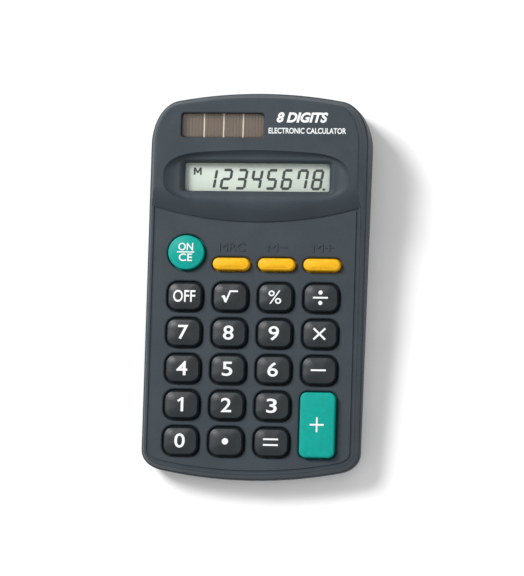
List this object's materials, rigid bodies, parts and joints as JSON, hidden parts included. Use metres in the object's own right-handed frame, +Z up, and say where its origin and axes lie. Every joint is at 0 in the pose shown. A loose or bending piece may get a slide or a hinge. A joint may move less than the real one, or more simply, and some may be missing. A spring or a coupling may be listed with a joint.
{
  "type": "pocket calculator",
  "caption": "Pocket calculator with a wedge case, raised display section with a sunk window, solar window, sprung keys, sliding battery door and one AA cell inside.",
  "frame": {"origin": "under the middle of the calculator, on the plane its four feet stand on", "axes": "+X right as the keys are read, +Y from the keypad end to the display end, +Z up out of the keys"},
  "size_m": [0.066, 0.1168, 0.0206],
  "materials": {
    "shell": "fine spark-eroded texture, dark slate grey",
    "black_key": "satin moulded plastic, near black, white printed legend",
    "teal_key": "satin moulded plastic, teal green, white printed legend",
    "yellow_key": "satin moulded plastic, warm yellow",
    "foot_rubber": "matte black rubber",
    "mat_rubber": "matte grey silicone",
    "strip_rubber": "layered conductive rubber",
    "clear_window": "clear polished plastic",
    "lcd_glass": "grey-green reflective display behind glass",
    "solar_cell": "brown amorphous silicon on glass with pale dividers",
    "board": "tan phenolic laminate",
    "resin": "black potting resin",
    "capacitor_sleeve": "shrink sleeve",
    "cell_jacket": "printed metal jacket",
    "contact_steel": "nickel plated spring steel",
    "screw_steel": "zinc plated steel",
    "red_wire": "flexible insulation",
    "black_wire": "flexible insulation"
  },
  "bodies": {
    "case": {"front_shell": "shell", "rear_shell": "shell", "foot_1": "foot_rubber", "foot_2": "foot_rubber", "foot_3": "foot_rubber", "foot_4": "foot_rubber", "display_window": "clear_window", "solar_window": "clear_window", "lcd_panel": "lcd_glass", "contact_strip": "strip_rubber", "solar_cell": "solar_cell", "circuit_board": "board", "keypad_mat": "mat_rubber", "chip_resin": "resin", "capacitor": "capacitor_sleeve", "aa_cell": "cell_jacket", "positive_contact": "contact_steel", "negative_contact": "contact_steel", "negative_spring": "contact_steel", "battery_wire_plus": "red_wire", "battery_wire_minus": "black_wire", "solar_wire_1": "black_wire", "solar_wire_2": "red_wire", "case_screw_1": "screw_steel", "board_screw_1": "screw_steel", "case_screw_2": "screw_steel", "board_screw_2": "screw_steel", "case_screw_3": "screw_steel", "board_screw_3": "screw_steel", "case_screw_4": "screw_steel", "board_screw_4": "screw_steel"},
    "battery_door": {"battery_door": "shell"},
    "key_0": {"key_0": "black_key"},
    "key_point": {"key_point": "black_key"},
    "key_equals": {"key_equals": "black_key"},
    "key_1": {"key_1": "black_key"},
    "key_2": {"key_2": "black_key"},
    "key_3": {"key_3": "black_key"},
    "key_4": {"key_4": "black_key"},
    "key_5": {"key_5": "black_key"},
    "key_6": {"key_6": "black_key"},
    "key_minus": {"key_minus": "black_key"},
    "key_7": {"key_7": "black_key"},
    "key_8": {"key_8": "black_key"},
    "key_9": {"key_9": "black_key"},
    "key_multiply": {"key_multiply": "black_key"},
    "key_off": {"key_off": "black_key"},
    "key_square_root": {"key_square_root": "black_key"},
    "key_percent": {"key_percent": "black_key"},
    "key_divide": {"key_divide": "black_key"},
    "key_plus": {"key_plus": "teal_key"},
    "key_on_clear": {"key_on_clear": "teal_key"},
    "key_memory_recall": {"key_memory_recall": "yellow_key"},
    "key_memory_minus": {"key_memory_minus": "yellow_key"},
    "key_memory_plus": {"key_memory_plus": "yellow_key"}
  },
  "joints": [
    {"name": "press_0", "type": "slide", "parent": "case", "child": "key_0", "axis": [0, 0.0795, -0.9968], "range_m": [0, 0.001], "stiffness_N_per_m": 500},
    {"name": "press_point", "type": "slide", "parent": "case", "child": "key_point", "axis": [0, 0.0795, -0.9968], "range_m": [0, 0.001], "stiffness_N_per_m": 500},
    {"name": "press_equals", "type": "slide", "parent": "case", "child": "key_equals", "axis": [0, 0.0795, -0.9968], "range_m": [0, 0.001], "stiffness_N_per_m": 500},
    {"name": "press_1", "type": "slide", "parent": "case", "child": "key_1", "axis": [0, 0.0795, -0.9968], "range_m": [0, 0.001], "stiffness_N_per_m": 500},
    {"name": "press_2", "type": "slide", "parent": "case", "child": "key_2", "axis": [0, 0.0795, -0.9968], "range_m": [0, 0.001], "stiffness_N_per_m": 500},
    {"name": "press_3", "type": "slide", "parent": "case", "child": "key_3", "axis": [0, 0.0795, -0.9968], "range_m": [0, 0.001], "stiffness_N_per_m": 500},
    {"name": "press_4", "type": "slide", "parent": "case", "child": "key_4", "axis": [0, 0.0795, -0.9968], "range_m": [0, 0.001], "stiffness_N_per_m": 500},
    {"name": "press_5", "type": "slide", "parent": "case", "child": "key_5", "axis": [0, 0.0795, -0.9968], "range_m": [0, 0.001], "stiffness_N_per_m": 500},
    {"name": "press_6", "type": "slide", "parent": "case", "child": "key_6", "axis": [0, 0.0795, -0.9968], "range_m": [0, 0.001], "stiffness_N_per_m": 500},
    {"name": "press_minus", "type": "slide", "parent": "case", "child": "key_minus", "axis": [0, 0.0795, -0.9968], "range_m": [0, 0.001], "stiffness_N_per_m": 500},
    {"name": "press_7", "type": "slide", "parent": "case", "child": "key_7", "axis": [0, 0.0795, -0.9968], "range_m": [0, 0.001], "stiffness_N_per_m": 500},
    {"name": "press_8", "type": "slide", "parent": "case", "child": "key_8", "axis": [0, 0.0795, -0.9968], "range_m": [0, 0.001], "stiffness_N_per_m": 500},
    {"name": "press_9", "type": "slide", "parent": "case", "child": "key_9", "axis": [0, 0.0795, -0.9968], "range_m": [0, 0.001], "stiffness_N_per_m": 500},
    {"name": "press_multiply", "type": "slide", "parent": "case", "child": "key_multiply", "axis": [0, 0.0795, -0.9968], "range_m": [0, 0.001], "stiffness_N_per_m": 500},
    {"name": "press_off", "type": "slide", "parent": "case", "child": "key_off", "axis": [0, 0.0795, -0.9968], "range_m": [0, 0.001], "stiffness_N_per_m": 500},
    {"name": "press_square_root", "type": "slide", "parent": "case", "child": "key_square_root", "axis": [0, 0.0795, -0.9968], "range_m": [0, 0.001], "stiffness_N_per_m": 500},
    {"name": "press_percent", "type": "slide", "parent": "case", "child": "key_percent", "axis": [0, 0.0795, -0.9968], "range_m": [0, 0.001], "stiffness_N_per_m": 500},
    {"name": "press_divide", "type": "slide", "parent": "case", "child": "key_divide", "axis": [0, 0.0795, -0.9968], "range_m": [0, 0.001], "stiffness_N_per_m": 500},
    {"name": "press_plus", "type": "slide", "parent": "case", "child": "key_plus", "axis": [0, 0.0795, -0.9968], "range_m": [0, 0.001], "stiffness_N_per_m": 500},
    {"name": "press_on_clear", "type": "slide", "parent": "case", "child": "key_on_clear", "axis": [0, 0.0795, -0.9968], "range_m": [0, 0.001], "stiffness_N_per_m": 500},
    {"name": "press_memory_recall", "type": "slide", "parent": "case", "child": "key_memory_recall", "axis": [0, 0.0795, -0.9968], "range_m": [0, 0.001], "stiffness_N_per_m": 500},
    {"name": "press_memory_minus", "type": "slide", "parent": "case", "child": "key_memory_minus", "axis": [0, 0.0795, -0.9968], "range_m": [0, 0.001], "stiffness_N_per_m": 500},
    {"name": "press_memory_plus", "type": "slide", "parent": "case", "child": "key_memory_plus", "axis": [0, 0.0795, -0.9968], "range_m": [0, 0.001], "stiffness_N_per_m": 500},
    {"name": "door_slide", "type": "slide", "parent": "case", "child": "battery_door", "axis": [0, 1, 0], "range_m": [0, 0.0185]}
  ]
}
